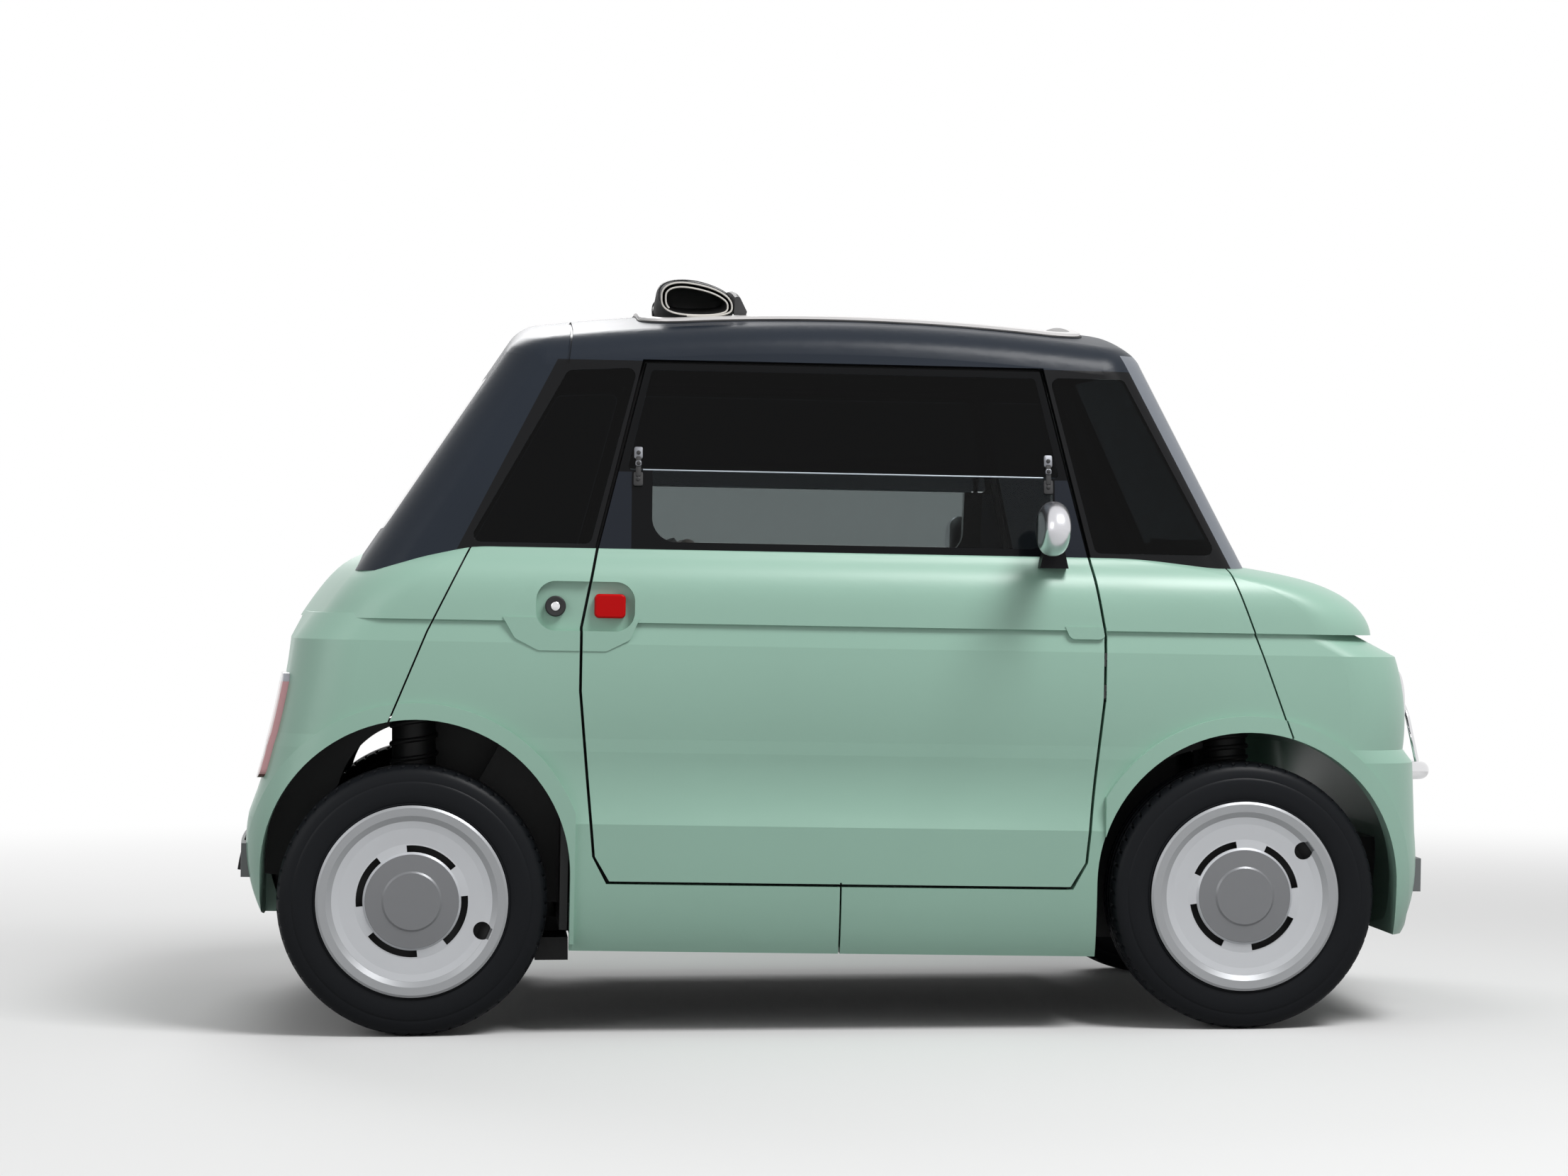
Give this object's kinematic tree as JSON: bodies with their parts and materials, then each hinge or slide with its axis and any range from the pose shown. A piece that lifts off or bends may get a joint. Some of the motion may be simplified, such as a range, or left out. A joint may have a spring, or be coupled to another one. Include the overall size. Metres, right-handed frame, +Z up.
{
  "type": "electric microcar",
  "caption": "Small two-seat electric car with plastic panels, side doors, a roll-back canvas roof and wheels that roll and steer.",
  "frame": {"origin": "on the ground, at the middle of the overall length and width", "axes": "+X forward, +Y to the car's left, +Z up"},
  "size_m": [2.5709, 1.74, 1.6094],
  "materials": {
    "mint": "satin",
    "black": "gloss",
    "glass": "gloss",
    "tyre": "matt",
    "wheel": "satin",
    "chassis": "satin",
    "chrome": "polished",
    "strip": "matt",
    "canvas": "matt",
    "seat": "matt",
    "trim": "matt",
    "red": "gloss",
    "lamp": "gloss",
    "rim": "satin"
  },
  "bodies": {
    "body": {"floor_tub": "trim", "front_fascia": "mint", "rear_fascia": "mint", "side_panels_front": "mint", "side_panels_rear": "mint", "cab_frame": "black", "windscreen": "glass", "rear_window": "glass", "quarter_glass": "glass", "roof_rim": "rim", "canvas_roll": "canvas", "dashboard": "trim", "seat_driver": "seat", "seat_passenger": "seat", "steering_column": "trim", "battery_box": "chassis", "drive_motor": "chassis", "front_bumper": "chrome", "bumper_strips": "strip", "headlamps": "lamp", "tail_lamps": "red", "door_locks": "trim", "front_subframe": "chassis", "rear_axle": "chassis"},
    "steering_wheel": {"steering_wheel": "trim"},
    "door_right": {"door_panel_right": "mint", "door_frame_right": "black", "door_glass_right": "glass", "door_handle_right": "red", "mirror_right": "chrome"},
    "knuckle_right": {"knuckle_right": "chassis"},
    "wheel_front_right": {"tyre_front_right": "tyre", "wheel_front_right": "wheel"},
    "wheel_rear_right": {"tyre_rear_right": "tyre", "wheel_rear_right": "wheel"},
    "door_left": {"door_panel_left": "mint", "door_frame_left": "black", "door_glass_left": "glass", "door_handle_left": "red", "mirror_left": "chrome"},
    "knuckle_left": {"knuckle_left": "chassis"},
    "wheel_front_left": {"tyre_front_left": "tyre", "wheel_front_left": "wheel"},
    "wheel_rear_left": {"tyre_rear_left": "tyre", "wheel_rear_left": "wheel"}
  },
  "joints": [
    {"name": "steer_left", "type": "hinge", "parent": "body", "child": "knuckle_left", "pos_m": [0.8147, 0.562, 0.15], "axis": [0, -0.2166, 0.9763], "range_deg": [-35, 35]},
    {"name": "steer_right", "type": "hinge", "parent": "body", "child": "knuckle_right", "pos_m": [0.8147, -0.562, 0.15], "axis": [0, 0.2166, 0.9763], "range_deg": [-35, 35]},
    {"name": "steering_wheel_turn", "type": "hinge", "parent": "body", "child": "steering_wheel", "pos_m": [0.19624, 0.3, 0.84564], "axis": [-0.8984, 0, 0.4392], "range_deg": [-420, 420]},
    {"name": "wheel_front_left_spin", "type": "hinge", "parent": "knuckle_left", "child": "wheel_front_left", "pos_m": [0.8147, 0.6, 0.2785], "axis": [0, 1, 0], "continuous": true},
    {"name": "wheel_rear_left_spin", "type": "hinge", "parent": "body", "child": "wheel_rear_left", "pos_m": [-0.9133, 0.6, 0.2785], "axis": [0, 1, 0], "continuous": true},
    {"name": "wheel_front_right_spin", "type": "hinge", "parent": "knuckle_right", "child": "wheel_front_right", "pos_m": [0.8147, -0.6, 0.2785], "axis": [0, 1, 0], "continuous": true},
    {"name": "wheel_rear_right_spin", "type": "hinge", "parent": "body", "child": "wheel_rear_right", "pos_m": [-0.9133, -0.6, 0.2785], "axis": [0, 1, 0], "continuous": true},
    {"name": "door_left_swing", "type": "hinge", "parent": "body", "child": "door_left", "pos_m": [-0.56838, 0.683, 0.70963], "axis": [0.0183, 0, 0.9998], "range_deg": [0, 70]},
    {"name": "door_right_swing", "type": "hinge", "parent": "body", "child": "door_right", "pos_m": [0.51943, -0.683, 0.68969], "axis": [0.0183, 0, 0.9998], "range_deg": [0, 70]}
  ],
  "couplings": [
    {"joint": "steer_right", "follows": "steer_left", "ratio": 1},
    {"joint": "steering_wheel_turn", "follows": "steer_left", "ratio": 12}
  ]
}
